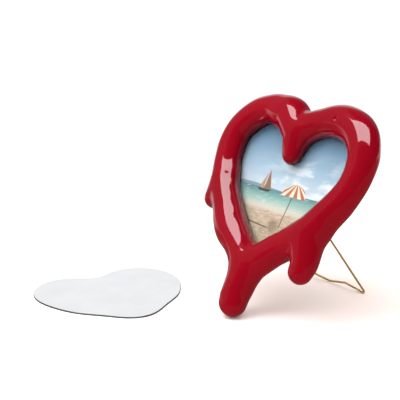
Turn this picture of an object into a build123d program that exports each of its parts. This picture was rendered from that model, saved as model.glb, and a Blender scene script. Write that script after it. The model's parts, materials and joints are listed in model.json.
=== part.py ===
from build123d import *
import os
from math import acos, atan2, cos, degrees, pi, radians, sin, sqrt

os.makedirs("parts", exist_ok=True)

# Heart shaped photo frame, standing on its long drip and a folding wire stand.
# Millimetres. X runs across the frame to the right, Y runs away behind it, Z is up.
# The origin is the middle of the small flat under the long drip, on the table.

# Stance
lean_deg = 30.9                 # how far the frame leans back from upright

# Cast heart: sizes of the tube's centreline and of the tube
heart_half_width = 108.0        # middle to side
heart_height = 200.0            # bottom of the heart to the top of its lobes
tube_radius = 19.5
back_depth = 15.0               # mid-plane of the tube to the flat back

# Drips of the casting
foot_drip_length = 55.5         # bottom of the heart to the middle of the drip's end
foot_ball_radius = 18.0
foot_flat_depth = 0.5           # how much is ground off where it stands
right_drip_length = 41.0
right_ball_radius = 15.2
side_drip_length = 36.0
side_ball_radius = 14.2
nose_length = 39.0
nose_ball_radius = 12.6
ball_swell = 0.8                # a drip's end ball over the tube that runs into it

# Heart shaped insert, shared by the glass, print, card, board and loose mirror
insert_side_inset = 8.5         # its sides, inside the tube's centreline
insert_end_inset = 12.0         # its top and tip, inside the tube's centreline
insert_clearance = 1.0          # rebate wall round the insert
insert_rise_share = 0.56        # insert's middle, as a share of the heart's height
insert_across_share = 0.025     # and of its half width

# Stack in the rebate, from the front to the back
glass_thickness = 2.0
print_thickness = 0.3
card_thickness = 1.2
board_thickness = 3.0
felt_thickness = 0.5
print_margin = 0.5              # the print, card and felt are cut this much smaller

# Screws, which hold the hinge plate and the turn buttons
screw_radius = 1.15
screw_hole_radius = 1.25
screw_head_radius = 2.4
screw_head_height = 1.2
screw_slot_width = 0.6
screw_slot_depth = 0.5
button_screw_depth = 9.0        # in the casting
hinge_screw_bite = 3.2          # in the felt and board
screw_end_clearance = 0.3       # screw's end to the bottom of its hole

# Turn buttons
button_width = 9.0
button_thickness = 1.2
button_edge_round = 0.4
button_clearance = 0.1          # over the flat back, and under its screw's head
button_reach = 17.0             # from its screw to the end of its tongue
button_set_back = 8.5           # from the insert's edge out to the screw
button_hole_radius = 1.4
button_angles_deg = (-105.0, -31.0, 31.0, 105.0, 180.0)

# Wire stand
wire_radius = 1.4
wire_end_gap = 1.0              # between the wire's two ends, inside the barrel
stand_length = 170.0            # hinge axis to the corners of the feet
stand_top_half_width = 17.0
stand_foot_half_width = 61.0
stand_peak_half_width = 30.0
stand_peak_rise = 9.5           # of the crossbar's two humps above the feet
stand_dip_rise = 2.6            # and of its middle
wire_top_bend = 4.0
wire_foot_bend = 3.0
wire_peak_bend = 9.0
wire_dip_bend = 6.0

# Hinge plate of the stand
folded_foot_drop = 9.0          # folded feet, below the middle of the foot ball
hinge_offset = 3.0              # axis behind the flat back
sheet_thickness = 1.0
barrel_clearance = 0.1
barrel_half_length = 12.5
plate_half_width = 22.0
plate_above = 8.5
plate_below = 15.0
plate_corner = 2.0
stop_clearance = 0.3            # wire to stop tab when the stand is open
stop_reach = 6.5
stop_inner = 14.0               # the tabs run from here to stop_outer, each side
stop_outer = 21.5
hinge_screw_across = 8.0
hinge_screw_high = 5.8
hinge_screw_low = 9.5

# Loose mirror, lying beside the frame
mirror_coat_thickness = 0.2
mirror_across = -163.7          # its middle, from the origin
mirror_back = -58.6
mirror_turn_deg = 74.4

# One overrun for every cut
overrun = 3.0

# Shares for the cast tubes: across (of the half width), up (of the height), girth
left_tube_shares = (
    (-0.130, 0.925, 1.12),
    (-0.250, 0.978, 1.11),
    (-0.377, 1.000, 1.07),
    (-0.540, 0.997, 1.02),
    (-0.720, 0.958, 0.99),
    (-0.860, 0.888, 0.965),
    (-0.950, 0.800, 0.95),
    (-0.966, 0.698, 0.96),
    (-0.932, 0.593, 0.97),
    (-0.867, 0.492, 1.00),
    (-0.765, 0.375, 1.03),
    (-0.620, 0.271, 1.05),
    (-0.445, 0.174, 1.05),
    (-0.243, 0.090, 1.06),
    (-0.075, 0.018, 1.10),
)
right_tube_shares = (
    (-0.020, 0.890, 0.97),
    (0.118, 0.934, 1.04),
    (0.286, 0.968, 1.02),
    (0.460, 0.993, 1.07),
    (0.643, 0.986, 1.10),
    (0.789, 0.952, 1.10),
    (0.915, 0.893, 1.07),
    (0.990, 0.817, 1.02),
    (1.022, 0.713, 0.96),
    (1.006, 0.596, 0.94),
    (0.933, 0.490, 0.97),
    (0.820, 0.373, 1.02),
    (0.711, 0.281, 1.07),
    (0.592, 0.214, 1.09),
    (0.484, 0.166, 1.05),
    (0.305, 0.109, 0.99),
    (0.162, 0.053, 1.00),
    (0.018, 0.018, 0.92),
)
# Shares for the drips: across (of the half width), along (of the drip), girth
foot_drip_shares = (
    (-0.011, 0.260, 1.07),
    (-0.008, 0.533, 1.00),
    (-0.006, 0.775, 0.94),
)
nose_shares = (
    (-0.006, 0.690, 0.79),
    (-0.032, 0.310, 1.02),
)
right_drip_shares = (
    (0.620, 0.000, 0.87),
    (0.700, 0.330, 0.95),
    (0.745, 0.650, 0.86),
)
side_drip_shares = (
    (-0.850, 0.000, 0.77),
    (-0.930, 0.450, 0.84),
)
# Shares for the drips' ends and starts
foot_end_across_share = 0.0
nose_end_across_share = 0.004
right_drip_end_across_share = 0.763
right_drip_start_up_share = 0.228
side_drip_end_across_share = -0.965
side_drip_start_up_share = 0.507
cleft_up_share = 0.913

# Shares of the insert's polar outline: one cosine wave each for 2, 3, 4, 5 and 7 turns
outline_wave_shares = ((2, -0.103), (3, -0.135), (4, -0.025), (5, -0.033), (7, -0.0125))
outline_points = 40


# The frame's mid-plane: X across, Y up the frame, normal out of its front
lean = radians(lean_deg)
foot_height = foot_ball_radius - foot_flat_depth
ring_plane = Plane(origin=(0, 0, foot_height), x_dir=(1, 0, 0), z_dir=(0, -cos(lean), sin(lean)))
back_plane = ring_plane.offset(-back_depth)
rebate_depth = glass_thickness + print_thickness + card_thickness + board_thickness + felt_thickness
insert_width = 2 * (heart_half_width - insert_side_inset)
insert_height = heart_height - 2 * insert_end_inset
insert_across = heart_half_width * insert_across_share
insert_up = foot_drip_length + heart_height * insert_rise_share


def frame_point(across, up, front=0.0):
    """A point given in the frame's own plane, in the part's frame."""
    return ring_plane.from_local_coords(Vector(across, up, front))


def heart_radius(angle):
    """Unit radius of the insert at an angle from its cleft."""
    return 1 + sum(share * cos(turns * angle) for turns, share in outline_wave_shares)


unit_angles = [2 * pi * step / outline_points for step in range(outline_points)]
unit_half_width = max(heart_radius(angle) * sin(angle) for angle in unit_angles)
unit_top = max(heart_radius(angle) * cos(angle) for angle in unit_angles)
unit_height = unit_top + heart_radius(pi)


def heart_point(angle, growth=0.0):
    """Point of the insert's outline, grown by a clearance, about the insert's middle."""
    across = (insert_width / 2 + growth) * heart_radius(angle) * sin(angle) / unit_half_width
    up = (insert_height + 2 * growth) * heart_radius(angle) * cos(angle) / unit_height
    return across, up


def heart_outline(growth=0.0):
    """Face of the insert's outline, in the sketch that is open."""
    with BuildLine() as outline:
        Spline([heart_point(angle, growth) for angle in unit_angles], periodic=True)
    make_face(outline.edges())


def insert_plane(front):
    """Plane of a layer of the stack, about the insert's middle."""
    return Plane(
        origin=frame_point(insert_across, insert_up, front),
        x_dir=ring_plane.x_dir,
        z_dir=ring_plane.z_dir,
    )


def lay_tube(stations):
    """Loft one round tube through stations of across, up and radius in the frame's plane."""
    sections = []
    for place, (across, up, radius) in enumerate(stations):
        before = stations[max(place - 1, 0)]
        after = stations[min(place + 1, len(stations) - 1)]
        along = ring_plane.x_dir * (after[0] - before[0]) + ring_plane.y_dir * (after[1] - before[1])
        section_plane = Plane(origin=frame_point(across, up), x_dir=ring_plane.z_dir, z_dir=along)
        with BuildSketch(section_plane) as section:
            Circle(radius)
        sections.append(section.sketch)
    loft(sections)


def end_ball(across, up, radius):
    """Round end of a drip."""
    with Locations(frame_point(across, up)):
        Sphere(radius)


def heart_stations(shares):
    """Stations of a tube that follows the heart."""
    return [
        (a * heart_half_width, foot_drip_length + u * heart_height, g * tube_radius)
        for a, u, g in shares
    ]


def drip_stations(shares, start_up, length):
    """Stations of a drip that hangs down from start_up."""
    return [(a * heart_half_width, start_up - d * length, g * tube_radius) for a, d, g in shares]


# Places of the turn buttons: screw point in the insert's plane, and the way the tongue points
def button_place(angle_deg):
    """Screw point outside the insert's edge, and the inward direction, in degrees."""
    angle = radians(angle_deg)
    step = pi / outline_points
    ahead, behind = heart_point(angle + step), heart_point(angle - step)
    along_x, along_y = ahead[0] - behind[0], ahead[1] - behind[1]
    size = sqrt(along_x ** 2 + along_y ** 2)
    out_x, out_y = -along_y / size, along_x / size
    edge_x, edge_y = heart_point(angle)
    if out_x * edge_x + out_y * edge_y < 0:
        out_x, out_y = -out_x, -out_y
    point = (edge_x + button_set_back * out_x, edge_y + button_set_back * out_y)
    return point, degrees(atan2(-out_y, -out_x))


button_places = [button_place(angle) for angle in button_angles_deg]

# Cast heart with its drips: two tubes that meet in the cleft and over the foot drip
cleft_up = foot_drip_length + heart_height * cleft_up_share
nose_end = (nose_end_across_share * heart_half_width, cleft_up - nose_length)
right_drip_start = foot_drip_length + heart_height * right_drip_start_up_share
right_drip_end = (right_drip_end_across_share * heart_half_width, right_drip_start - right_drip_length)
side_drip_start = foot_drip_length + heart_height * side_drip_start_up_share
side_drip_end = (side_drip_end_across_share * heart_half_width, side_drip_start - side_drip_length)
foot_end = (foot_end_across_share * heart_half_width, 0.0)

with BuildPart() as frame_body:
    lay_tube(
        [(*nose_end, nose_ball_radius - ball_swell)]
        + drip_stations(nose_shares, cleft_up, nose_length)
        + heart_stations(left_tube_shares)
        + drip_stations(foot_drip_shares, foot_drip_length, foot_drip_length)
        + [(*foot_end, foot_ball_radius - ball_swell)]
    )
    lay_tube(heart_stations(right_tube_shares))
    lay_tube(
        drip_stations(right_drip_shares, right_drip_start, right_drip_length)
        + [(*right_drip_end, right_ball_radius - ball_swell)]
    )
    lay_tube(
        drip_stations(side_drip_shares, side_drip_start, side_drip_length)
        + [(*side_drip_end, side_ball_radius - ball_swell)]
    )
    end_ball(*nose_end, nose_ball_radius)
    end_ball(*foot_end, foot_ball_radius)
    end_ball(*right_drip_end, right_ball_radius)
    end_ball(*side_drip_end, side_ball_radius)
    split(bisect_by=back_plane, keep=Keep.TOP)
    split(bisect_by=Plane.XY, keep=Keep.TOP)
    # Rebate for the insert, cut from the back
    with BuildSketch(insert_plane(-back_depth - overrun)):
        heart_outline(insert_clearance)
    extrude(amount=rebate_depth + overrun, mode=Mode.SUBTRACT)
    # Pilot holes of the turn buttons
    with BuildSketch(insert_plane(-back_depth - overrun)):
        with Locations([point for point, way in button_places]):
            Circle(screw_hole_radius)
    extrude(amount=button_screw_depth + overrun, mode=Mode.SUBTRACT)
frame_body.part.label = "frame_body"
export_step(frame_body.part, "parts/frame_body.step")

# Places on the flat back: the hinge plate and its screws
hinge_up = stand_length - folded_foot_drop
hinge_screw_points = [
    (side * hinge_screw_across, rise)
    for side in (-1, 1)
    for rise in (hinge_screw_high, -hinge_screw_low)
]
hinge_back_plane = Plane(
    origin=frame_point(0, hinge_up, -back_depth), x_dir=ring_plane.x_dir, z_dir=ring_plane.z_dir
)
backwards = Axis((0, 0, 0), -ring_plane.z_dir)

# Stack behind the opening, laid into the rebate from the front to the back
layers = (
    ("glass_pane", glass_thickness, 0.0),
    ("photo_print", print_thickness, print_margin),
    ("mount_card", card_thickness, print_margin),
    ("backing_board", board_thickness, 0.0),
    ("back_felt", felt_thickness, print_margin),
)
layer_front = rebate_depth - back_depth
for layer_name, layer_thickness, layer_margin in layers:
    with BuildPart() as layer:
        with BuildSketch(insert_plane(layer_front)):
            heart_outline(-layer_margin)
        extrude(amount=-layer_thickness)
        if layer_name in ("backing_board", "back_felt"):
            # The hinge plate's screws pass through the felt into the board
            with BuildSketch(hinge_back_plane):
                with Locations(hinge_screw_points):
                    Circle(screw_hole_radius)
            extrude(amount=hinge_screw_bite, both=True, mode=Mode.SUBTRACT)
    layer.part.label = layer_name
    export_step(layer.part, f"parts/{layer_name}.step")
    layer_front -= layer_thickness

# Turn buttons: pressed brass tongues on the flat back, reaching in over the felt
for number, (point, way_deg) in enumerate(button_places, start=1):
    way = radians(way_deg)
    button_plane = Plane(
        origin=insert_plane(-back_depth - button_clearance).from_local_coords(Vector(*point)),
        x_dir=ring_plane.x_dir * cos(way) + ring_plane.y_dir * sin(way),
        z_dir=-ring_plane.z_dir,
    )
    button_length = button_reach + button_width / 2
    with BuildPart() as turn_button:
        with BuildSketch(button_plane):
            with Locations(((button_reach - button_width / 2) / 2, 0)):
                SlotOverall(button_length, button_width)
            Circle(button_hole_radius, mode=Mode.SUBTRACT)
        extrude(amount=button_thickness)
        fillet(turn_button.edges().group_by(backwards)[-1], radius=button_edge_round)
    turn_button.part.label = f"turn_button_{number}"
    export_step(turn_button.part, f"parts/turn_button_{number}.step")


def drive_screws(seat_plane, points, bite):
    """Slotted pan head screws: heads seated behind a plane, shanks driven in front of it."""
    with BuildSketch(seat_plane) as heads:
        with Locations(points):
            Circle(screw_head_radius)
    extrude(heads.sketch, amount=-screw_head_height)
    with BuildSketch(seat_plane) as shanks:
        with Locations(points):
            Circle(screw_radius)
    extrude(shanks.sketch, amount=bite)
    with BuildSketch(seat_plane.offset(-screw_head_height)) as slots:
        with Locations(points):
            Rectangle(2 * screw_head_radius + overrun, screw_slot_width)
    extrude(slots.sketch, amount=screw_slot_depth, mode=Mode.SUBTRACT)


# Screws of the turn buttons, driven into the casting
with BuildPart() as turn_button_screws:
    button_seat = button_thickness + 2 * button_clearance
    drive_screws(
        insert_plane(-back_depth - button_seat),
        [point for point, way_deg in button_places],
        button_seat + button_screw_depth - screw_end_clearance,
    )
turn_button_screws.part.label = "turn_button_screws"
export_step(turn_button_screws.part, "parts/turn_button_screws.step")

# Screws of the hinge plate, driven through the felt into the board
with BuildPart() as hinge_screws:
    drive_screws(
        hinge_back_plane.offset(-sheet_thickness),
        hinge_screw_points,
        sheet_thickness + hinge_screw_bite - screw_end_clearance,
    )
hinge_screws.part.label = "hinge_screws"
export_step(hinge_screws.part, "parts/hinge_screws.step")

# Wire stand: one bent wire whose ends meet in the barrel, two legs and an M shaped crossbar
stand_corners = [
    (wire_end_gap / 2, 0),
    (stand_top_half_width, 0),
    (stand_foot_half_width, -stand_length),
    (stand_peak_half_width, stand_peak_rise - stand_length),
    (0, stand_dip_rise - stand_length),
    (-stand_peak_half_width, stand_peak_rise - stand_length),
    (-stand_foot_half_width, -stand_length),
    (-stand_top_half_width, 0),
    (-wire_end_gap / 2, 0),
]
stand_bends = [
    wire_top_bend, wire_foot_bend, wire_peak_bend, wire_dip_bend,
    wire_peak_bend, wire_foot_bend, wire_top_bend,
]
with BuildLine() as flat_wire:
    FilletPolyline(*stand_corners, radius=stand_bends)
stand_reach = -flat_wire.line.bounding_box().min.Y

# The legs lean out until the bent feet rest on the table
hinge_axis = frame_point(0, hinge_up, -back_depth - hinge_offset)
leg_angle = acos((hinge_axis.Z - wire_radius) / stand_reach)
stand_plane = Plane(
    origin=hinge_axis, x_dir=ring_plane.x_dir, z_dir=(0, -cos(leg_angle), -sin(leg_angle))
)
with BuildPart() as stand_wire:
    with BuildLine(stand_plane) as wire_path:
        FilletPolyline(*stand_corners, radius=stand_bends)
    with BuildSketch(Plane(origin=wire_path.line @ 0, z_dir=wire_path.line % 0)):
        Circle(wire_radius)
    sweep()
stand_wire.part.label = "stand_wire"
export_step(stand_wire.part, "parts/stand_wire.step")

# Hinge plate: brass sheet, rolled into a barrel round the wire's top bar
barrel_bore_radius = wire_radius + barrel_clearance
barrel_radius = barrel_bore_radius + sheet_thickness
open_angle = lean + leg_angle
hinge_section = Plane(origin=hinge_axis, x_dir=ring_plane.y_dir, z_dir=ring_plane.x_dir)
stop_offset = wire_radius + stop_clearance
stop_root = (stop_offset * cos(open_angle) + hinge_offset - sheet_thickness / 2) / sin(open_angle)


def stop_corner(along, away):
    """Corner of a stop tab, along the open leg and away from it on its upper side."""
    return (
        away * sin(open_angle) - along * cos(open_angle),
        -away * cos(open_angle) - along * sin(open_angle),
    )


with BuildPart() as hinge_plate:
    with BuildSketch(hinge_back_plane):
        with Locations((0, (plate_above - plate_below) / 2)):
            RectangleRounded(2 * plate_half_width, plate_above + plate_below, plate_corner)
    extrude(amount=-sheet_thickness)
    with BuildSketch(hinge_section):
        Circle(barrel_radius)
    extrude(amount=barrel_half_length, both=True)
    # Two tabs folded up, against which the legs stop when the stand is open
    for side in (-1, 1):
        tab_middle = side * (stop_inner + stop_outer) / 2
        with BuildSketch(hinge_section.offset(tab_middle)):
            Polygon(
                stop_corner(-stop_root, stop_offset),
                stop_corner(stop_reach, stop_offset),
                stop_corner(stop_reach, stop_offset + sheet_thickness),
                stop_corner(-stop_root, stop_offset + sheet_thickness),
                align=None,
            )
        extrude(amount=(stop_outer - stop_inner) / 2, both=True)
    with BuildSketch(hinge_section):
        Circle(barrel_bore_radius)
    extrude(amount=barrel_half_length + overrun, both=True, mode=Mode.SUBTRACT)
    with BuildSketch(hinge_back_plane):
        with Locations(hinge_screw_points):
            Circle(screw_hole_radius)
    extrude(amount=overrun, both=True, mode=Mode.SUBTRACT)
hinge_plate.part.label = "hinge_plate"
export_step(hinge_plate.part, "parts/hinge_plate.step")

# Loose mirror, cut to the same outline, lying on its painted back beside the frame
mirror_turn = radians(mirror_turn_deg)
mirror_plane = Plane(
    origin=(mirror_across, mirror_back, mirror_coat_thickness),
    x_dir=(cos(mirror_turn), sin(mirror_turn), 0),
    z_dir=(0, 0, 1),
)
with BuildPart() as mirror_coat:
    with BuildSketch(mirror_plane):
        heart_outline(-print_margin)
    extrude(amount=-mirror_coat_thickness)
mirror_coat.part.label = "mirror_coat"
export_step(mirror_coat.part, "parts/mirror_coat.step")

with BuildPart() as mirror_plate:
    with BuildSketch(mirror_plane):
        heart_outline()
    extrude(amount=glass_thickness)
mirror_plate.part.label = "mirror_plate"
export_step(mirror_plate.part, "parts/mirror_plate.step")

print("lean of the legs, open angle, degrees:", degrees(leg_angle), degrees(open_angle))
print("hinge axis:", hinge_axis, "foot line Y:", hinge_axis.Y + stand_reach * sin(leg_angle))
print("insert middle:", frame_point(insert_across, insert_up, -back_depth))
for point, way_deg in button_places:
    print("turn button at:", insert_plane(-back_depth).from_local_coords(Vector(*point)), way_deg)
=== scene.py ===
import json
import math

import bmesh
import bpy
import numpy as np
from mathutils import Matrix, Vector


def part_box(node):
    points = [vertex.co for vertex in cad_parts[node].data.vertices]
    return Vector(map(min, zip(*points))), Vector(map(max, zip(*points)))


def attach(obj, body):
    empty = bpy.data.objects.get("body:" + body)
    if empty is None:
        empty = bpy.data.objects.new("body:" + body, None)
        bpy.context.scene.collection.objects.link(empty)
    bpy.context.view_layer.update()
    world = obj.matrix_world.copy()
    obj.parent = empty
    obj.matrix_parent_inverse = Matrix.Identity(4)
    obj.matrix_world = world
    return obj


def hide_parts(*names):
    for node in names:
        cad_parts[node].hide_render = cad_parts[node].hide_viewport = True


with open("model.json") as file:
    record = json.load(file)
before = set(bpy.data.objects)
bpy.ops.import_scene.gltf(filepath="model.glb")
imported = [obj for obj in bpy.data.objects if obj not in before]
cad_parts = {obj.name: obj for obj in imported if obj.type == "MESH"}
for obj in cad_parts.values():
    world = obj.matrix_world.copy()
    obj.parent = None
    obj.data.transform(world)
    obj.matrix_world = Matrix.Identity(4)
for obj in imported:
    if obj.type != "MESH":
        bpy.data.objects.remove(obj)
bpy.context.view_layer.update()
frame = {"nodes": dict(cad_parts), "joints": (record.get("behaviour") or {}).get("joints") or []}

# The casting: a fat resin tube in the shape of a heart, poured in one piece with its drips and its nose,
# sanded round and dipped in thick red lacquer, which pools into soft fillets where the tubes meet. Its back
# is flat, with a rebate for the insert, and everything else is laid into it or screwed to it.
heart_half_width = 0.108
heart_height = 0.200
tube_radius = 0.0195
back_depth = 0.015
foot_drip_length = 0.0555
foot_ball_radius = 0.018
foot_flat_depth = 0.0005
right_drip_length = 0.041
side_drip_length = 0.036
nose_length = 0.039
pool_depth = 0.0034             # how softly the lacquer fills a corner
back_round = 0.0008
flat_round = 0.0003
wave_height = 0.00013           # hand-sanded unevenness
long_wave_pitches = (9.1, 14.3, 11.7, 8.3)      # millimetres for one radian of a wave
short_wave_pitches = (5.3, 6.1, 7.7)
short_wave_share = 0.6
span_samples = 24
profile_sides = 36
cap_steps = 8
skin_voxel = 0.0015
relax_strengths = (0.5, 0.5, 0.4, 0.0, 0.0)
longest_step = 0.004
least_steepness = 0.2
slide_share = 0.6               # how far a ball slides along its path, as a share of the balls' spacing
points_at_a_time = 4000
exponent_limit = 60.0

# Stations along the tubes. The first number is a share of heart_half_width, the second one of heart_height
# or, in a drip and in the nose, of its own length, and the third one of tube_radius.
left_tube_shares = (
    (-0.132, 0.931, 1.125), (-0.234, 0.988, 1.129), (-0.379, 0.997, 1.090), (-0.540, 1.000, 1.005),
    (-0.721, 0.961, 0.997), (-0.863, 0.889, 0.979), (-0.957, 0.803, 0.947), (-0.970, 0.696, 0.969),
    (-0.937, 0.593, 0.965), (-0.868, 0.485, 0.959), (-0.760, 0.383, 1.022), (-0.619, 0.284, 1.100),
    (-0.442, 0.169, 1.184), (-0.239, 0.085, 1.052), (-0.083, 0.011, 1.071),
)
right_tube_shares = (
    (-0.019, 0.889, 0.945), (0.116, 0.926, 0.997), (0.287, 0.968, 0.985), (0.463, 0.993, 1.092),
    (0.634, 0.991, 1.150), (0.806, 0.956, 1.150), (0.914, 0.896, 1.095), (0.992, 0.813, 1.019),
    (1.016, 0.713, 0.962), (0.993, 0.604, 0.925), (0.920, 0.496, 0.982), (0.802, 0.384, 1.049),
    (0.705, 0.283, 1.150), (0.584, 0.231, 1.086), (0.478, 0.187, 1.015), (0.307, 0.118, 0.900),
    (0.159, 0.044, 0.937), (0.019, 0.017, 0.874),
)
foot_drip_shares = (
    (-0.013, 0.260, 1.059), (-0.002, 0.539, 1.007), (-0.006, 0.800, 0.951), (0.004, 0.993, 0.910),
)
nose_shares = ((0.005, 0.973, 0.658), (-0.007, 0.715, 0.803), (-0.025, 0.299, 1.002))
right_drip_shares = (
    (0.678, -0.041, 1.016), (0.722, 0.289, 1.031), (0.767, 0.660, 0.882), (0.765, 0.943, 0.780),
)
side_drip_shares = ((-0.847, 0.003, 0.731), (-0.892, 0.468, 0.776), (-0.912, 1.005, 0.701))
corner_pool_shares = ((0.314, 0.116, 0.841), (0.186, 0.044, 0.826), (0.080, -0.045, 0.768))
nose_pool_shares = ((-0.050, 0.905, 0.80), (-0.165, 0.945, 0.88), (-0.300, 0.970, 0.94))
cleft_up_share = 0.913
right_drip_up_share = 0.228
side_drip_up_share = 0.507
# Pits and beads in the lacquer: across, up, out of the front, depth (a bead's is negative) and reach
lacquer_flaws = (
    (0.0625, 0.2518, 0.020, 0.0022, 0.0022), (0.0665, 0.0805, 0.020, 0.0026, 0.0024),
    (-0.0605, 0.0820, 0.012, -0.0012, 0.0028), (-0.0220, 0.0515, 0.012, -0.0010, 0.0026),
    (-0.0625, 0.1180, 0.015, -0.0006, 0.0030), (-0.0080, 0.2102, 0.014, -0.0007, 0.0035),
    (-0.0100, 0.0063, 0.016, -0.0006, 0.0030), (-0.0990, 0.1170, 0.010, -0.0008, 0.0030),
)

# The frame leans back, so its pieces are worked out in its own plane: across, up it and out of its front,
# from the middle of the long drip's round end. The lean comes from the axis that the turn buttons turn on.
back_way = np.array(next(j["axis"] for j in frame["joints"] if j["name"] == "button_1_turn"), float)
front_way = -back_way / np.linalg.norm(back_way)
across_way = np.array([1.0, 0.0, 0.0])
up_way = np.cross(front_way, across_way)
frame_axes = np.array([across_way, up_way, front_way])
foot_middle = np.array([0.0, 0.0, foot_ball_radius - foot_flat_depth])


def to_row(points):
    """Points given across, up and out of the frame's front, as points of the row: the foot's middle plus each
    distance times its direction."""
    return foot_middle + np.asarray(points, float) @ frame_axes


def frame_points(piece):
    """A piece's points across, up and out of the frame's front: the way from the foot's middle to each point,
    measured along each direction."""
    flat_points = np.empty(len(piece.data.vertices) * 3)
    piece.data.vertices.foreach_get("co", flat_points)
    return (flat_points.reshape(-1, 3) - foot_middle) @ frame_axes.T


def add_piece(name, points, faces, body=None):
    """A mesh object at the origin with its place in its vertices, riding on a body if one is given."""
    mesh = bpy.data.meshes.new(name)
    mesh.from_pydata(np.asarray(points).tolist(), [], faces)
    mesh.update()
    piece = bpy.data.objects.new(name, mesh)
    bpy.context.scene.collection.objects.link(piece)
    if body:
        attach(piece, body)
    return piece


def settle(piece):
    """Applies the piece's modifiers to its mesh."""
    graph = bpy.context.evaluated_depsgraph_get()
    finished = bpy.data.meshes.new_from_object(piece.evaluated_get(graph))
    piece.modifiers.clear()
    piece.data = finished


def heart_stations(shares):
    """Stations of a tube that follows the heart: across, up and radius."""
    return [(a * heart_half_width, foot_drip_length + u * heart_height, g * tube_radius)
            for a, u, g in shares]


def drip_stations(shares, start_up, length):
    """Stations of a drip that hangs down from start_up: across, up and radius."""
    return [(a * heart_half_width, start_up - d * length, g * tube_radius) for a, d, g in shares]


def smooth_path(stations):
    """A Catmull-Rom curve through the stations: each span is the cubic whose ends take their slope from the
    neighbouring stations. The radius is carried as a third coordinate."""
    s = np.array(stations, float)
    s = np.vstack([2 * s[0] - s[1], s, 2 * s[-1] - s[-2]])
    p0, p1, p2, p3 = (s[i:len(s) - 3 + i, None, :] for i in range(4))
    t = np.linspace(0, 1, span_samples, endpoint=False)[None, :, None]
    curve = 0.5 * (2 * p1 + (p2 - p0) * t + (2 * p0 - 5 * p1 + 4 * p2 - p3) * t ** 2
                   + (3 * p1 - p0 - 3 * p2 + p3) * t ** 3)
    return np.vstack([curve.reshape(-1, 3), s[-2]])


def loft_quads(rows, sides):
    """Quads between rows of points that close round: each joins a point, the next one round and the two
    above."""
    row, col = (g.ravel() for g in np.mgrid[0:rows - 1, 0:sides])
    beside = (col + 1) % sides
    return np.column_stack([row * sides + col, row * sides + beside,
                            (row + 1) * sides + beside, (row + 1) * sides + col])


def loft_faces(rows, sides, first_point=0):
    """The quads between rows of points, and a many-sided face at each end. The points are numbered from
    first_point on."""
    ring = first_point + np.arange(sides)
    ends = [ring[::-1].tolist(), (ring + (rows - 1) * sides).tolist()]
    return (first_point + loft_quads(rows, sides)).tolist() + ends


def tube_grid(path, first_point):
    """A circle of the path's radius carried along it, with half a ball at each end: each ball adds rings that
    go on along the end's direction by the sine of an angle and shrink by its cosine. The back is pressed
    flat."""
    way = np.gradient(path[:, :2], axis=0)
    way /= np.linalg.norm(way, axis=1, keepdims=True)
    cap = np.linspace(0, np.pi / 2, cap_steps + 1)[1:-1]
    first, last = path[0], path[-1]
    before = np.column_stack([
        first[:2] - way[0] * first[2] * np.sin(cap[::-1, None]), first[2] * np.cos(cap[::-1])])
    after = np.column_stack([
        last[:2] + way[-1] * last[2] * np.sin(cap[:, None]), last[2] * np.cos(cap)])
    rings = np.vstack([before, path, after])
    ways = np.vstack([np.repeat(way[:1], len(before), 0), way, np.repeat(way[-1:], len(after), 0)])
    side = np.column_stack([-ways[:, 1], ways[:, 0]])
    angle = np.linspace(0, 2 * np.pi, profile_sides, endpoint=False)
    flat = rings[:, None, :2] + side[:, None, :] * (rings[:, None, 2:] * np.cos(angle)[None, :, None])
    front = rings[:, 2:] * np.sin(angle)[None, :]
    points = np.dstack([flat, np.maximum(front, -back_depth)]).reshape(-1, 3)
    return points, loft_faces(len(rings), profile_sides, first_point)


def tube_distance(points, path):
    """Distance from a tube's surface and its slope: the nearest ball along the path is found first, and its
    middle then slides along the path's direction to the foot of the point."""
    middle = np.column_stack([path[:, :2], np.zeros(len(path))])
    way = np.gradient(middle, axis=0)
    spacing = np.linalg.norm(way, axis=1)
    way /= spacing[:, None]
    taper = np.gradient(path[:, 2]) / spacing
    distance, slope = np.empty(len(points)), np.empty((len(points), 3))
    for start in range(0, len(points), points_at_a_time):
        batch = slice(start, start + points_at_a_time)
        p = points[batch]
        square = (p ** 2).sum(1)[:, None] + (middle ** 2).sum(1)[None] - 2 * p @ middle.T
        near = (np.sqrt(np.maximum(square, 0)) - path[:, 2][None]).argmin(1)
        low = np.where(near == 0, 0.0, -slide_share) * spacing[near]
        high = np.where(near == len(path) - 1, 0.0, slide_share) * spacing[near]
        slide = np.clip(((p - middle[near]) * way[near]).sum(1), low, high)
        away = p - middle[near] - slide[:, None] * way[near]
        size = np.linalg.norm(away, axis=1)
        distance[batch] = size - path[near, 2] - slide * taper[near]
        slope[batch] = away / np.maximum(size, 1e-6)[:, None]
    return distance, slope


tube_paths = [
    smooth_path(
        drip_stations(nose_shares, foot_drip_length + heart_height * cleft_up_share, nose_length)
        + heart_stations(left_tube_shares)
        + drip_stations(foot_drip_shares, foot_drip_length, foot_drip_length)
    ),
    smooth_path(heart_stations(right_tube_shares)),
    smooth_path(drip_stations(
        right_drip_shares, foot_drip_length + heart_height * right_drip_up_share, right_drip_length)),
    smooth_path(drip_stations(
        side_drip_shares, foot_drip_length + heart_height * side_drip_up_share, side_drip_length)),
    smooth_path(heart_stations(corner_pool_shares)),
    smooth_path(heart_stations(nose_pool_shares)),
]


def sanding_waves(points):
    """What hand sanding leaves: a long sine wave across and up times a long cosine wave up and out, plus a
    share of a shorter sine wave that runs all three ways."""
    x, y, z = (points * 1000).T
    long_x, long_y, cross_y, cross_z = long_wave_pitches
    short_x, short_y, short_z = short_wave_pitches
    return wave_height * (np.sin(x / long_x + y / long_y) * np.cos(y / cross_y - z / cross_z)
                          + short_wave_share * np.sin(x / short_x - y / short_y + z / short_z))


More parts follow.
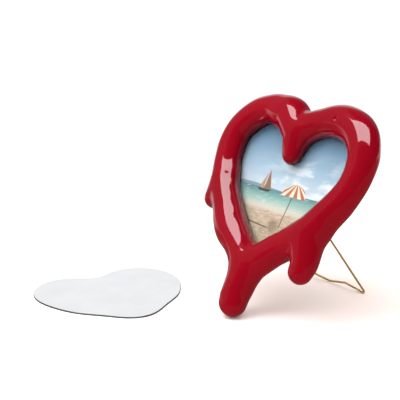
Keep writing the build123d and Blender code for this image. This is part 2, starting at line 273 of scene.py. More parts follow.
def casting_field(points):
    """How far points lie outside the casting, and the slope of that. The tubes' distances are joined softly,
    by the logarithm of the sum of their exponentials, so that corners fill. Waves are added for sanding and
    bell shapes for flaws, and the flat back and the ground foot are then cut in the same soft way."""
    parts = [tube_distance(points, path) for path in tube_paths]
    distance = np.array([d for d, _ in parts])
    weight = np.exp(-(distance - distance.min(0)) / pool_depth)
    field = distance.min(0) - pool_depth * np.log(weight.sum(0))
    slope = sum(w[:, None] * s for w, (_, s) in zip(weight, parts)) / weight.sum(0)[:, None]
    field = field + sanding_waves(points)
    for *flaw, depth, reach in lacquer_flaws:
        field = field + depth * np.exp(-((points - flaw) ** 2).sum(1) / (2 * reach ** 2))
    cuts = (
        (-(points[:, 2] + back_depth), np.array([0.0, 0.0, -1.0]), back_round),
        (-to_row(points)[:, 2], -frame_axes[:, 2], flat_round),
    )
    for cut, cut_slope, softness in cuts:
        exponent = np.clip((field - cut) / softness, -exponent_limit, exponent_limit)
        share = 1 / (1 + np.exp(exponent))
        field = softness * np.logaddexp(field / softness, cut / softness)
        slope = slope * (1 - share)[:, None] + cut_slope * share[:, None]
    return field, slope


def relax(points, edges, strength):
    """Each point moves a share of the way to the middle of its neighbours."""
    total, count = np.zeros_like(points), np.zeros(len(points))
    for a, b in ((0, 1), (1, 0)):
        np.add.at(total, edges[:, a], points[edges[:, b]])
        np.add.at(count, edges[:, a], 1)
    return points + strength * (total / np.maximum(count, 1)[:, None] - points)


tube_points, tube_faces, point_count = [], [], 0
for path in tube_paths:
    ring_points, ring_faces = tube_grid(path, point_count)
    tube_points.append(ring_points)
    tube_faces += ring_faces
    point_count += len(ring_points)
casting = add_piece("casting", to_row(np.vstack(tube_points)), tube_faces, "frame")
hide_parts("frame_body")
skin = casting.modifiers.new("skin", "REMESH")
skin.mode = "VOXEL"
skin.voxel_size = skin_voxel
settle(casting)

# The skin of small squares is drawn onto the field
skin_points = frame_points(casting)
skin_edges = np.empty(len(casting.data.edges) * 2, np.int32)
casting.data.edges.foreach_get("vertices", skin_edges)
skin_edges = skin_edges.reshape(-1, 2)
for strength in relax_strengths:
    skin_points = relax(skin_points, skin_edges, strength)
    field, slope = casting_field(skin_points)
    steepness = np.maximum((slope ** 2).sum(1), least_steepness)
    step = np.clip(field / steepness, -longest_step, longest_step)
    skin_points = skin_points - step[:, None] * slope
casting.data.vertices.foreach_set("co", to_row(skin_points).ravel())
casting.data.update()

# One polar curve is the outline of the rebate, the glass, the picture, the board and the loose mirror
insert_side_inset = 0.0085
insert_end_inset = 0.012
insert_clearance = 0.001
insert_across_share = 0.025
insert_up_share = 0.56
rebate_depth = 0.007
glass_front = rebate_depth - back_depth
insert_middle = np.array([
    heart_half_width * insert_across_share, foot_drip_length + heart_height * insert_up_share, 0.0])
outline_wave_shares = ((2, -0.103), (3, -0.135), (4, -0.025), (5, -0.033), (7, -0.0125))
outline_count = 240


def heart_outline(growth=0.0):
    """The insert's outline about its middle: a circle with five cosine waves on its radius, stretched to the
    insert's width and height and grown by a clearance."""
    angle = np.linspace(0, 2 * np.pi, outline_count, endpoint=False)
    radius = 1 + sum(share * np.cos(turns * angle) for turns, share in outline_wave_shares)
    x, y = radius * np.sin(angle), radius * np.cos(angle)
    width = 2 * (heart_half_width - insert_side_inset + growth)
    height = heart_height - 2 * insert_end_inset + 2 * growth
    return np.column_stack([x * width / (2 * x.max()), y * height / (y.max() - y.min())])


def heart_plate(low, high, edge=0.0, growth=0.0):
    """A closed plate of the insert's outline between two heights, its edges bevelled. A point in the middle
    closes each side with a fan of triangles."""
    rows = [(growth - edge, low), (growth, low + edge), (growth, high - edge), (growth - edge, high)]
    if not edge:
        rows = rows[1:3]
    rings = [np.column_stack([heart_outline(grown), np.full(outline_count, level)]) for grown, level in rows]
    points = np.vstack(rings + [[(0, 0, low), (0, 0, high)]])
    col = np.arange(outline_count)
    beside = (col + 1) % outline_count
    last = (len(rows) - 1) * outline_count
    under = np.column_stack([col, beside, np.full(outline_count, len(points) - 2)])
    over = np.column_stack([last + beside, last + col, np.full(outline_count, len(points) - 1)])
    return points, loft_quads(len(rows), outline_count)[:, ::-1].tolist() + under.tolist() + over.tolist()


cutter_points, cutter_faces = heart_plate(
    -back_depth - insert_clearance, glass_front, growth=insert_clearance)
cutter = add_piece(
    "rebate_cutter", to_row(insert_middle + cutter_points), cutter_faces, "frame")
rebate = casting.modifiers.new("rebate", "BOOLEAN")
rebate.operation = "DIFFERENCE"
rebate.solver = "EXACT"
rebate.object = cutter
settle(casting)
bpy.data.objects.remove(cutter)

# Painted shade: the lacquer is painted dark in the corner between the window's wall and the glass, where
# shade falls. A value on the mesh is 1 at the glass's front and falls to 0 over shade_height, inside the
# rebate's outline grown by shade_margin.
shade_margin = 0.001
shade_height = 0.018
wall_points = frame_points(casting) - insert_middle
outline = heart_outline(insert_clearance + shade_margin)
window_reach = np.interp(
    np.arctan2(wall_points[:, 0], wall_points[:, 1]), np.arctan2(outline[:, 0], outline[:, 1]),
    np.hypot(outline[:, 0], outline[:, 1]), period=2 * np.pi)
within = np.hypot(wall_points[:, 0], wall_points[:, 1]) < window_reach
corner_shade = within * np.clip(1 - (wall_points[:, 2] - glass_front) / shade_height, 0, 1)
casting.data.attributes.new("corner_shade", "FLOAT", "POINT").data.foreach_set("value", corner_shade)


def shade(piece, material, crease_deg=38.0):
    """Smooth shading with edges sharper than crease_deg kept crisp, and one material."""
    piece.data.materials.clear()
    piece.data.materials.append(material)
    piece.data.polygons.foreach_set("use_smooth", np.ones(len(piece.data.polygons), bool))
    piece.data.set_sharp_from_angle(angle=math.radians(crease_deg))


def node_adder(tree):
    """A function that adds a node to a tree: its settings by name, its inputs by socket, each a plain value
    or another node's output."""
    def add(kind, inputs=None, **settings):
        node = tree.nodes.new("ShaderNode" + kind)
        for key, value in settings.items():
            setattr(node, key, value)
        for key, value in (inputs or {}).items():
            if isinstance(value, bpy.types.NodeSocket):
                tree.links.new(value, node.inputs[key])
            else:
                node.inputs[key].default_value = value
        return node
    return add


def start_material(name):
    """An empty material and the function that adds its nodes."""
    material = bpy.data.materials.new(name)
    material.use_nodes = True
    material.node_tree.nodes.clear()
    return material, node_adder(material.node_tree)


def ramp(add, value, stops):
    """A colour ramp: stops of position and colour."""
    node = add("ValToRGB", {"Fac": value})
    elements = node.color_ramp.elements
    while len(elements) < len(stops):
        elements.new(0.5)
    for element, (place, colour) in zip(elements, stops):
        element.position = place
        element.color = (*colour, 1.0)
    return node.outputs["Color"]


deep_red = (0.188, 0.0003, 0.0052)
bright_red = (0.234, 0.0007, 0.0088)
# Painted shade: the near black that the lacquer's colour turns to in the window's corner, where shade falls
painted_shade_red = (0.012, 0.0, 0.0008)

lacquer, add = start_material("red_lacquer")
place = add("TexCoord").outputs["Object"]
pigment = add("TexNoise", {"Vector": place, "Scale": 9.0, "Detail": 3.0})
red = ramp(add, pigment.outputs["Fac"], ((0.30, deep_red), (0.70, bright_red)))
# Painted shade: the corner's value mixes the red toward that near black
corner = add("Attribute", attribute_name="corner_shade").outputs["Fac"]
red = add("Mix", {0: corner, 6: red, 7: (*painted_shade_red, 1.0)}, data_type="RGBA").outputs[2]
swirl = add("TexNoise", {"Vector": place, "Scale": 55.0, "Detail": 2.0})
grain = add("TexNoise", {"Vector": place, "Scale": 900.0, "Detail": 2.0})
dullness = add("MapRange", {"Value": swirl.outputs["Fac"], "To Min": 0.16, "To Max": 0.26})
peel = add("Bump", {"Height": swirl.outputs["Fac"], "Strength": 0.03, "Distance": 0.002})
dust = add("Bump", {"Height": grain.outputs["Fac"], "Strength": 0.02, "Distance": 0.0002,
                    "Normal": peel.outputs["Normal"]})
# Painted shade: the coat is thinned in the same corner, so that it mirrors less there and the corner stays
# dark
coat_thinned_in_shade = add("MapRange", {"Value": corner, "To Min": 1.0, "To Max": 0.1})
paint = add("BsdfPrincipled", {
    "Base Color": red, "Roughness": dullness.outputs["Result"], "Normal": dust.outputs["Normal"],
    "Coat Weight": coat_thinned_in_shade.outputs["Result"], "Coat Roughness": 0.015, "Coat IOR": 1.45,
    "Specular IOR Level": 0.05, "Coat Normal": peel.outputs["Normal"]})
add("OutputMaterial", {"Surface": paint.outputs["BSDF"]})
shade(casting, lacquer)

# The glass: a heart of 2 mm float glass, cut and ground by hand, that drops into the rebate from behind. It
# is clear from the front, and its cut edge is hidden behind the casting's lip.
glass_thickness = 0.002
ground_edge = 0.0003
plate_crease_deg = 25.0
glass_tint = (0.97, 0.99, 0.985, 1.0)


def insert_layer(name, node, front, thickness, material, edge=0.0, margin=0.0):
    """A plate of the insert's outline, less a margin, whose face looks out of the frame's front at the given
    distance."""
    points, faces = heart_plate(front - thickness, front, edge, -margin)
    layer = add_piece(name, to_row(insert_middle + points), faces, "frame")
    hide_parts(node)
    shade(layer, material, plate_crease_deg)


clear_glass, add = start_material("clear_glass")
place = add("TexCoord").outputs["Object"]
smear = add("TexNoise", {"Vector": place, "Scale": 14.0, "Detail": 4.0})
polish = add("MapRange", {"Value": smear.outputs["Fac"], "To Min": 0.01, "To Max": 0.04})
shine = add("BsdfGlossy", {"Color": (1.0, 1.0, 1.0, 1.0), "Roughness": polish.outputs["Result"]})
through = add("BsdfTransparent", {"Color": glass_tint})
glance = add("Fresnel", {"IOR": 1.45})
outer_side = add("Math", {0: 1.0, 1: add("NewGeometry").outputs["Backfacing"]}, operation="SUBTRACT")
reflected = add("Math", {0: glance.outputs["Fac"], 1: outer_side.outputs[0]}, operation="MULTIPLY")
pane = add("MixShader", {0: reflected.outputs[0], 1: through.outputs["BSDF"], 2: shine.outputs["BSDF"]})
add("OutputMaterial", {"Surface": pane.outputs["Shader"]})
insert_layer("glass", "glass_pane", glass_front, glass_thickness, clear_glass, ground_edge)

# The picture: a satin photo print behind the glass, cut to the insert's outline. It shows a made-up seaside:
# a pale cloudy sky, a teal sea with a sailing boat, wet sand, dry grassy sand and a striped parasol.
print_thickness = 0.0003
print_margin = 0.0005
print_gap = 0.00003              # keeps the print's face clear of the glass
print_front = glass_front - glass_thickness
picture_middle = to_row(insert_middle)
horizon = -14.5                 # the picture's sizes are millimetres from its middle
water_edge = -36.0
wet_edge = -41.0
grass_edge = -58.0
sky_tones = ((0.0, (0.48, 0.54, 0.60)), (0.30, (0.29, 0.40, 0.51)), (0.65, (0.145, 0.25, 0.37)),
             (1.0, (0.055, 0.115, 0.21)))
sea_tones = ((0.0, (0.50, 0.52, 0.47)), (0.35, (0.28, 0.42, 0.385)), (0.8, (0.125, 0.27, 0.265)),
             (1.0, (0.085, 0.175, 0.21)))
sand_tones = ((0.35, (0.40, 0.29, 0.205)), (0.65, (0.56, 0.435, 0.335)))
cloud_white = (0.66, 0.68, 0.70)
cloud_grey = (0.42, 0.47, 0.52)
hill_blue = (0.12, 0.20, 0.24)
foam_white = (0.66, 0.72, 0.70)
wet_sand = (0.55, 0.50, 0.43)
grass_green = (0.24, 0.23, 0.10)

print_paper, add = start_material("print_paper")
place = add("TexCoord").outputs["Object"]
along = add("VectorMath", {0: place, 1: tuple(across_way * 1000)}, operation="DOT_PRODUCT").outputs["Value"]
above = add("VectorMath", {0: place, 1: tuple(up_way * 1000)}, operation="DOT_PRODUCT").outputs["Value"]
# The spot that is being coloured: millimetres across and up from the picture's middle
x = add("Math", {0: along, 1: float(picture_middle @ across_way * 1000)}, operation="SUBTRACT").outputs[0]
y = add("Math", {0: above, 1: float(picture_middle @ up_way * 1000)}, operation="SUBTRACT").outputs[0]
spot = add("CombineXYZ", {"X": x, "Y": y, "Z": 1.0}).outputs["Vector"]


# The helpers from here on put their nodes into the tree that add was last made for
def rise(value, low, high):
    """0 below low, 1 above high, smooth between."""
    return add("MapRange", {"Value": value, "From Min": low, "From Max": high},
               interpolation_type="SMOOTHSTEP").outputs["Result"]


def fall(value, low, high):
    """1 below low, 0 above high, smooth between."""
    return add("Math", {0: 1.0, 1: rise(value, low, high)}, operation="SUBTRACT").outputs[0]


def times(a, b):
    """Product of two masks."""
    return add("Math", {0: a, 1: b}, operation="MULTIPLY").outputs[0]


def beside_line(a, b, soft=0.5):
    """1 on the left of the line from a to b, 0 on its right: the distance from the line, with a sign, is the
    dot product of the spot with the line's normal and offset."""
    (ax, ay), (bx, by) = a, b
    size = math.hypot(bx - ax, by - ay)
    nx, ny = -(by - ay) / size, (bx - ax) / size
    value = add("VectorMath", {0: spot, 1: (nx, ny, -(nx * ax + ny * ay))}, operation="DOT_PRODUCT")
    return rise(value.outputs["Value"], -soft, soft)


def polygon(*corners):
    """1 inside a convex shape whose corners go anticlockwise: the product of its sides' masks."""
    mask = beside_line(corners[-1], corners[0])
    for a, b in zip(corners[:-1], corners[1:]):
        mask = times(mask, beside_line(a, b))
    return mask


def disc(middle, radius, soft=0.5):
    """1 inside a circle: where the distance from its middle is less than its radius."""
    reach = add("VectorMath", {0: spot, 1: (*middle, 1.0)}, operation="DISTANCE").outputs["Value"]
    return fall(reach, radius - soft, radius + soft)


def lay_over(under, colour, mask):
    """The colour painted over what is under it, by a mask."""
    values = [v if isinstance(v, bpy.types.NodeSocket) else (*v, 1.0) for v in (under, colour)]
    return add("Mix", {0: mask, 6: values[0], 7: values[1]}, data_type="RGBA").outputs[2]


def speckle(size_x, size_y, detail=5.0):
    """Noise with grains of a size, in millimetres."""
    stretched = add("VectorMath", {0: spot, 1: (1 / size_x, 1 / size_y, 1.0)}, operation="MULTIPLY")
    noise = add("TexNoise", {"Vector": stretched.outputs["Vector"], "Scale": 1.0, "Detail": detail})
    return noise.outputs["Fac"]


sky_height = add("MapRange", {"Value": y, "From Min": horizon, "From Max": 85.0}).outputs["Result"]
sky = ramp(add, sky_height, sky_tones)
low_clouds = times(times(rise(speckle(30.0, 12.0), 0.42, 0.64), fall(y, -5.0, 50.0)), rise(x, -75.0, 15.0))
picture = lay_over(sky, cloud_white, low_clouds)
cloud_shade = times(rise(speckle(14.0, 6.0), 0.50, 0.75), fall(y, -5.0, 40.0))
picture = lay_over(picture, cloud_grey, times(cloud_shade, 0.4))
headland = polygon((-120, horizon - 1), (20, horizon - 1), (-10, horizon + 1.4), (-52, horizon + 4.4),
                   (-120, horizon + 4))
picture = lay_over(picture, hill_blue, times(headland, 0.8))
sea_height = add("MapRange", {"Value": y, "From Min": water_edge, "From Max": horizon}).outputs["Result"]
sea = ramp(add, sea_height, sea_tones)
sea = lay_over(sea, foam_white, times(rise(speckle(11.0, 1.3), 0.55, 0.72), 0.6))
picture = lay_over(picture, sea, fall(y, horizon - 0.4, horizon + 0.4))
ripple = add("Math", {0: speckle(18.0, 18.0), 1: 7.0, 2: -3.5}, operation="MULTIPLY_ADD").outputs[0]
shore = add("Math", {0: y, 1: ripple}, operation="ADD").outputs[0]
picture = lay_over(picture, wet_sand, fall(shore, water_edge - 0.8, water_edge + 0.8))
sand = ramp(add, speckle(9.0, 3.0), sand_tones)
picture = lay_over(picture, sand, fall(shore, wet_edge - 3.0, wet_edge + 2.0))
tuft = times(rise(speckle(1.6, 3.2), 0.48, 0.64), fall(shore, grass_edge - 10.0, grass_edge + 2.0))
picture = lay_over(picture, grass_green, times(tuft, 0.6))

# A sailing boat on the left of the sea: two tan sails and a dark hull, each an outline from the mast's foot
boat_x, boat_y = -36.0, horizon - 2.5
boat_parts = (
    ((0.24, 0.12, 0.07), ((0.7, 2.4), (12.0, 2.8), (0.7, 28.0))),
    ((0.40, 0.24, 0.15), ((-8.0, 2.8), (-0.7, 2.4), (-0.9, 24.0))),
    ((0.05, 0.045, 0.045), ((-7.5, -1.8), (9.5, -1.8), (13.0, 1.5), (-9.5, 1.5))),
)
for part_colour, part_outline in boat_parts:
    part_corners = [(boat_x + across, boat_y + up) for across, up in part_outline]
    picture = lay_over(picture, part_colour, polygon(*part_corners))

# A parasol on the right of the beach: its shadow, its pole, and a part of a disc with stripes that meet just
# above its top
top_x, top_y = 16.0, -1.0
canopy_radius = 21.0
canopy_y = top_y - canopy_radius
hem_low, hem_high = canopy_y + 3.5, canopy_y + 4.5
pole_foot_y = -60.0
pole_half_width = 0.7
stripe_meeting = (top_x, top_y + 3.0, 0.0)
stripe_turns = 9.0
shadow_brown = (0.15, 0.11, 0.07)
pole_brown = (0.12, 0.07, 0.045)
cloth_red = (0.42, 0.12, 0.07)
cloth_cream = (0.70, 0.60, 0.46)
picture = lay_over(picture, shadow_brown, times(disc((2.0, -59.0), 8.0, 4.0), 0.6))
picture = lay_over(picture, pole_brown, polygon(
    (top_x - 5.0, pole_foot_y), (top_x - 3.6, pole_foot_y),
    (top_x + pole_half_width, top_y), (top_x - pole_half_width, top_y)))
from_meeting = add("VectorMath", {0: spot, 1: stripe_meeting}, operation="SUBTRACT").outputs["Vector"]
aside = add("SeparateXYZ", {"Vector": from_meeting})
fan = add("Math", {0: aside.outputs["X"], 1: aside.outputs["Y"]}, operation="DIVIDE").outputs[0]
stripe = add("Math", {0: times(fan, stripe_turns)}, operation="SINE").outputs[0]
cloth = lay_over(cloth_red, cloth_cream, rise(stripe, -0.2, 0.2))
canopy = times(disc((top_x, canopy_y), canopy_radius), rise(y, hem_low, hem_high))
picture = lay_over(picture, cloth, canopy)

# Driftwood in the dry sand
driftwood_brown = (0.08, 0.055, 0.04)
picture = lay_over(picture, driftwood_brown, polygon(
    (-48.0, -60.6), (-6.0, -64.0), (-6.0, -62.6), (-48.0, -58.8)))

paper_grain = add("TexNoise", {"Vector": place, "Scale": 2500.0, "Detail": 2.0})
tooth = add("Bump", {"Height": paper_grain.outputs["Fac"], "Strength": 0.05, "Distance": 0.0001})
sheet = add("BsdfPrincipled", {
    "Base Color": picture, "Roughness": 0.45, "Normal": tooth.outputs["Normal"], "Specular IOR Level": 0.3})
add("OutputMaterial", {"Surface": sheet.outputs["BSDF"]})
insert_layer("photo", "photo_print", print_front - print_gap, print_thickness - print_gap,
             print_paper, margin=print_margin)

# The card, the board and its felt: grey card presses the print flat, a 3 mm fibre board closes the rebate and
# carries the stand, and black felt is glued over the board's back.
card_thickness = 0.0012
board_thickness = 0.003
felt_thickness = 0.0005
worn_edge = 0.0002
card_front = print_front - print_thickness
board_front = card_front - card_thickness
felt_front = board_front - board_thickness


def fibre_material(name, dark, light, grain_size, fuzz, sheen):
    """A dull fibrous finish: two tones mixed by fine noise, with the same noise as a bump."""
    material, add = start_material(name)
    place = add("TexCoord").outputs["Object"]
    fine = add("TexNoise", {"Vector": place, "Scale": 1 / grain_size, "Detail": 5.0, "Roughness": 0.7})
    patch = add("TexNoise", {"Vector": place, "Scale": 0.06 / grain_size, "Detail": 2.0})
    both = add("Math", {0: fine.outputs["Fac"], 1: patch.outputs["Fac"]}, operation="MULTIPLY")
    tone = ramp(add, both.outputs[0], ((0.15, dark), (0.38, light)))
    pile = add("Bump", {"Height": fine.outputs["Fac"], "Strength": fuzz, "Distance": grain_size})
    surface = add("BsdfPrincipled", {
        "Base Color": tone, "Roughness": 0.92, "Normal": pile.outputs["Normal"],
        "Sheen Weight": sheen, "Sheen Roughness": 0.4, "Specular IOR Level": 0.2})
    add("OutputMaterial", {"Surface": surface.outputs["BSDF"]})
    return material


grey_card = fibre_material(
    "grey_card", (0.34, 0.31, 0.27), (0.52, 0.49, 0.44), grain_size=0.0006, fuzz=0.2, sheen=0.0)
fibre_board = fibre_material(
    "fibre_board", (0.20, 0.12, 0.06), (0.38, 0.25, 0.14), grain_size=0.0008, fuzz=0.3, sheen=0.0)
black_felt = fibre_material(
    "black_felt", (0.008, 0.008, 0.010), (0.035, 0.034, 0.038), grain_size=0.0005, fuzz=0.8, sheen=0.5)
insert_layer("card", "mount_card", card_front, card_thickness, grey_card, margin=print_margin)
insert_layer("board", "backing_board", board_front, board_thickness, fibre_board, worn_edge)
insert_layer("felt", "back_felt", felt_front, felt_thickness, black_felt, worn_edge)

# The brass fittings: five turn buttons stamped from sheet, their slotted screws, and the stand's hinge plate
# with its rolled barrel and stop tabs, held by four more screws. Each keeps its place in the solids, with a
# soft stamped edge.
button_count = 5
stamped_edge = 0.00018
weld_reach = 1e-6
flat_turn_deg = 0.5
edge_turn_deg = 40.0


def brass_material(name, dull, bright, streak, roughness):
    """Brass with a slightly uneven tone and fine streaks, as sheet and wire come rolled: noise on Object
    coordinates that are stretched by the streak."""
    material, add = start_material(name)
    place = add("TexCoord").outputs["Object"]
    tarnish = add("TexNoise", {"Vector": place, "Scale": 120.0, "Detail": 4.0})
    stretched = add("VectorMath", {0: place, 1: streak}, operation="MULTIPLY").outputs["Vector"]
    rolled = add("TexNoise", {"Vector": stretched, "Scale": 1.0, "Detail": 3.0})
    tone = ramp(add, tarnish.outputs["Fac"], ((0.25, dull), (0.85, bright)))
    gloss = add("MapRange", {
        "Value": rolled.outputs["Fac"], "To Min": roughness * 0.7, "To Max": roughness * 1.5})
    lines = add("Bump", {"Height": rolled.outputs["Fac"], "Strength": 0.12, "Distance": 0.0001})
    metal = add("BsdfPrincipled", {
        "Base Color": tone, "Metallic": 0.8, "Roughness": gloss.outputs["Result"],
        "Normal": lines.outputs["Normal"]})
    add("OutputMaterial", {"Surface": metal.outputs["BSDF"]})
    return material


def finish_fitting(node, material, body):
    """A merged copy of a fitting with its edges rounded, in place of the node."""
    source = frame["nodes"][node].data.copy()
    work = bmesh.new()
    work.from_mesh(source)
    bmesh.ops.remove_doubles(work, verts=work.verts, dist=weld_reach)
    bmesh.ops.dissolve_limit(
        work, angle_limit=math.radians(flat_turn_deg), verts=work.verts, edges=work.edges)
    work.to_mesh(source)
    work.free()
    piece = bpy.data.objects.new(node + "_finished", source)
    bpy.context.scene.collection.objects.link(piece)
    rounding = piece.modifiers.new("stamped_edge", "BEVEL")
    rounding.width = stamped_edge
    rounding.segments = 2
    rounding.limit_method = "ANGLE"
    rounding.angle_limit = math.radians(edge_turn_deg)
    settle(piece)
    shade(piece, material)
    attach(piece, body)
    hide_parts(node)


stamped_brass = brass_material(
    "stamped_brass", (0.62, 0.40, 0.15), (0.80, 0.57, 0.25), streak=(300.0, 3000.0, 3000.0), roughness=0.24)
for number in range(1, button_count + 1):
    finish_fitting(f"turn_button_{number}", stamped_brass, f"button_{number}")
for node in ("turn_button_screws", "hinge_screws", "hinge_plate"):
    finish_fitting(node, stamped_brass, "frame")

# The stand: one brass wire bent by hand into two legs and an M shaped foot bar. Its ends meet inside the
# hinge's barrel, so the whole loop turns there, and it rests on the two corners of its feet.
wire_radius = 0.0014
wire_top, wire_foot, wire_peak = 0.017, 0.061, 0.030            # half the loop's width at each
stand_length, peak_rise, dip_rise = 0.170, 0.0095, 0.0026       # down to the feet, and up from them again
wire_end_gap = 0.001
wire_bends = (0.004, 0.003, 0.009, 0.006, 0.009, 0.003, 0.004)
bend_steps = 12
wire_sides = 20
stand_joint = next(j for j in frame["joints"] if j["name"] == "stand_fold")
hinge_axis = np.array(stand_joint["pos_m"], float)
wire_low, wire_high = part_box("stand_wire")
feet = np.array([0.0, wire_high[1] - wire_radius, wire_low[2] + wire_radius])
leg_way = feet - hinge_axis
leg_way[0] = 0.0
leg_way /= np.linalg.norm(leg_way)
wire_corners = np.array([
    (wire_end_gap / 2, 0), (wire_top, 0), (wire_foot, stand_length), (wire_peak, stand_length - peak_rise),
    (0, stand_length - dip_rise), (-wire_peak, stand_length - peak_rise), (-wire_foot, stand_length),
    (-wire_top, 0), (-wire_end_gap / 2, 0)])


def bent_line(corners, bends):
    """A line with rounded corners: each corner becomes an arc of its bend's radius, tangent to both its
    sides. The arc's middle lies on the line that halves the corner, at the radius over the sine of half."""
    line = [corners[:1]]
    for before, corner, after, radius in zip(corners[:-2], corners[1:-1], corners[2:], bends):
        to_before = (before - corner) / np.linalg.norm(before - corner)
        to_after = (after - corner) / np.linalg.norm(after - corner)
        half = 0.5 * math.acos(np.clip(to_before @ to_after, -1, 1))
        middle_way = (to_before + to_after) / np.linalg.norm(to_before + to_after)
        middle = corner + middle_way * radius / math.sin(half)
        start = corner + to_before * radius / math.tan(half) - middle
        turn = (math.pi - 2 * half) * np.linspace(0, 1, bend_steps)
        cross = to_before[0] * to_after[1] - to_before[1] * to_after[0]
        turn = turn * (1 if cross < 0 else -1)
        cosine, sine = np.cos(turn), np.sin(turn)
        line.append(middle + np.column_stack([start[0] * cosine - start[1] * sine,
                                              start[0] * sine + start[1] * cosine]))
    return np.vstack(line + [corners[-1:]])


flat_line = bent_line(wire_corners, wire_bends)
wire_line = hinge_axis + flat_line[:, :1] * across_way + flat_line[:, 1:] * leg_way
wire_normal = np.cross(across_way, leg_way)
wire_way = np.gradient(wire_line, axis=0)
wire_way /= np.linalg.norm(wire_way, axis=1, keepdims=True)
wire_side = np.cross(wire_way, wire_normal)
angle = np.linspace(0, 2 * np.pi, wire_sides, endpoint=False)
wire_points = (wire_line[:, None] + wire_radius * (np.cos(angle)[None, :, None] * wire_side[:, None]
                                                   + np.sin(angle)[None, :, None] * wire_normal))
stand = add_piece("stand_wire_bent", wire_points.reshape(-1, 3), loft_faces(len(wire_line), wire_sides),
                  "stand")
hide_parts("stand_wire")
work = bmesh.new()
work.from_mesh(stand.data)
bmesh.ops.recalc_face_normals(work, faces=work.faces)
work.to_mesh(stand.data)
work.free()
drawn_brass = brass_material(
    "drawn_brass", (0.95, 0.58, 0.17), (1.0, 0.78, 0.36), streak=(2500.0, 400.0, 400.0), roughness=0.30)
shade(stand, drawn_brass)

# The loose mirror: the same heart in 2 mm mirror glass, silvered and painted grey behind, with a ground edge.
# It lies on the table on its painted side.
coat_thickness = 0.0002
mirror_turn = math.radians(74.4)
mirror_place = np.array([-0.1637, -0.0586, 0.0])
mirror_axes = np.array([[math.cos(mirror_turn), math.sin(mirror_turn), 0.0],
                        [-math.sin(mirror_turn), math.cos(mirror_turn), 0.0], [0.0, 0.0, 1.0]])
face_upright_share = 0.9         # a face whose normal is less upright than this is part of the rim

silver, add = start_material("silvered_glass")
place = add("TexCoord").outputs["Object"]
haze = add("TexNoise", {"Vector": place, "Scale": 22.0, "Detail": 5.0})
wipe = add("MapRange", {"Value": haze.outputs["Fac"], "To Min": 0.015, "To Max": 0.07})
silver_tone = ramp(add, haze.outputs["Fac"], ((0.3, (0.80, 0.81, 0.81)), (0.7, (0.86, 0.87, 0.87))))
reflector = add("BsdfPrincipled", {
    "Base Color": silver_tone, "Metallic": 0.85, "Roughness": wipe.outputs["Result"]})
add("OutputMaterial", {"Surface": reflector.outputs["BSDF"]})

rim, add = start_material("ground_glass_rim")
place = add("TexCoord").outputs["Object"]
grinding = add("TexNoise", {"Vector": place, "Scale": 1400.0, "Detail": 3.0})
rim_tone = ramp(add, grinding.outputs["Fac"], ((0.3, (0.020, 0.035, 0.032)), (0.7, (0.055, 0.085, 0.078))))
rim_bump = add("Bump", {"Height": grinding.outputs["Fac"], "Strength": 0.3, "Distance": 0.0001})
rim_glass = add("BsdfPrincipled", {
    "Base Color": rim_tone, "Roughness": 0.32, "Normal": rim_bump.outputs["Normal"], "Coat Weight": 0.4})
add("OutputMaterial", {"Surface": rim_glass.outputs["BSDF"]})

grey_paint, add = start_material("mirror_paint")
place = add("TexCoord").outputs["Object"]
rolled_on = add("TexNoise", {"Vector": place, "Scale": 700.0, "Detail": 3.0})
paint_tone = ramp(add, rolled_on.outputs["Fac"], ((0.3, (0.10, 0.105, 0.11)), (0.7, (0.15, 0.155, 0.16))))
paint_bump = add("Bump", {"Height": rolled_on.outputs["Fac"], "Strength": 0.25, "Distance": 0.0001})
painted = add("BsdfPrincipled", {
    "Base Color": paint_tone, "Roughness": 0.7, "Normal": paint_bump.outputs["Normal"]})
add("OutputMaterial", {"Surface": painted.outputs["BSDF"]})

plate_points, plate_faces = heart_plate(coat_thickness, coat_thickness + glass_thickness, ground_edge)
mirror = add_piece(
    "loose_mirror", mirror_place + plate_points @ mirror_axes, plate_faces, "mirror")
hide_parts("mirror_plate")
shade(mirror, silver, plate_crease_deg)
mirror.data.materials.append(rim)
facing = np.empty(len(mirror.data.polygons) * 3)
mirror.data.polygons.foreach_get("normal", facing)
on_rim = np.abs(facing.reshape(-1, 3)[:, 2]) < face_upright_share
mirror.data.polygons.foreach_set("material_index", on_rim.astype(np.int32))
coat_points, coat_faces = heart_plate(0.0, coat_thickness)
coat = add_piece(
    "mirror_back_paint", mirror_place + coat_points @ mirror_axes, coat_faces, "mirror")
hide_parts("mirror_coat")
shade(coat, grey_paint, plate_crease_deg)

# The stage: a pale table that brightens into a white sweep. Gloss mirrors a dark studio with a dim wall and a
# white sweep behind the frame, a grey wall on its left and a bright box at the ceiling. The camera sees
# white, and everything else gets a soft light that is stronger from the key's side.
floor_reach = 60.0
sweep_start, sweep_end = 0.45, 1.5
dim_start, dim_end = 0.3, 0.9    # how far behind the frame the mirrored table ends
pale_tones = ((0.3, (0.94, 0.865, 0.835)), (0.7, (0.96, 0.885, 0.855)))
white_light = 1.05
dim_light = 0.12
behind_way = (-0.737, 0.676, 0.0)
sweep_way = (-0.71, 0.65, 0.27)
left_way = (-0.90, -0.30, 0.31)
key_side_way = (-0.62, -0.45, 0.64)
box_azimuth, box_elevation, box_roll = -60.0, 75.6, 4.0
box_half_tangents = (0.70, 0.28)
box_blur = 0.01
box_radiance = 9.0

